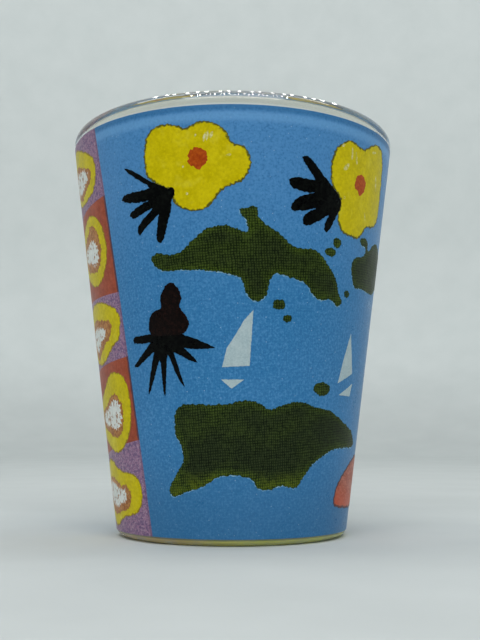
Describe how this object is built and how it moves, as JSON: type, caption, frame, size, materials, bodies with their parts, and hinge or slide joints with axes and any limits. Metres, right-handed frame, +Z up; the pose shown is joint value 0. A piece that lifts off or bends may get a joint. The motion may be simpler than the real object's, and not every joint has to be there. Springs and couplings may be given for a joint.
{
  "type": "shot glass",
  "caption": "Heavy tapered drinking glass for a single measure, with a thick base, a rounded lip and a tropical sea picture fused round the outside.",
  "frame": {"origin": "centre of the foot, on the table", "axes": "+Z up along the glass's axis; the middle of the picture faces -Y"},
  "size_m": [0.049, 0.049, 0.06],
  "materials": {
    "clear_glass": "polished, fire-finished lip",
    "ink_blue": "satin screen ink",
    "ink_purple": "satin screen ink, mottled",
    "ink_red": "satin screen ink",
    "ink_yellow": "satin screen ink with brush marks",
    "ink_orange": "satin screen ink",
    "ink_white": "satin screen ink",
    "ink_green": "satin screen ink, woven grain",
    "ink_black": "satin screen ink",
    "ink_maroon": "satin screen ink",
    "ink_coral": "satin screen ink"
  },
  "bodies": {
    "root": {"glass_body": "clear_glass", "sea_ground": "ink_blue", "border_tiles_purple": "ink_purple", "border_tiles_red": "ink_red", "slice_flesh_yellow": "ink_yellow", "slice_ring_orange": "ink_orange", "slice_core_white": "ink_white", "petals_left": "ink_yellow", "petals_right": "ink_yellow", "petals_back_right": "ink_yellow", "petals_back_left": "ink_yellow", "flower_eye_left": "ink_orange", "flower_eye_right": "ink_orange", "flower_eye_back_right": "ink_orange", "flower_eye_back_left": "ink_orange", "leaves_left": "ink_black", "leaves_right": "ink_black", "leaves_back_right": "ink_black", "leaves_back_left": "ink_black", "fruit_front": "ink_maroon", "fruit_back": "ink_maroon", "fruit_leaves_front": "ink_black", "fruit_leaves_back": "ink_black", "island_upper": "ink_green", "island_edge": "ink_green", "island_lower": "ink_green", "island_back_upper": "ink_green", "island_back_lower": "ink_green", "islets": "ink_green", "boat_left": "ink_white", "boat_right": "ink_white", "boat_back": "ink_white", "fish_coral": "ink_coral", "fish_yellow": "ink_yellow"}
  },
  "joints": []
}
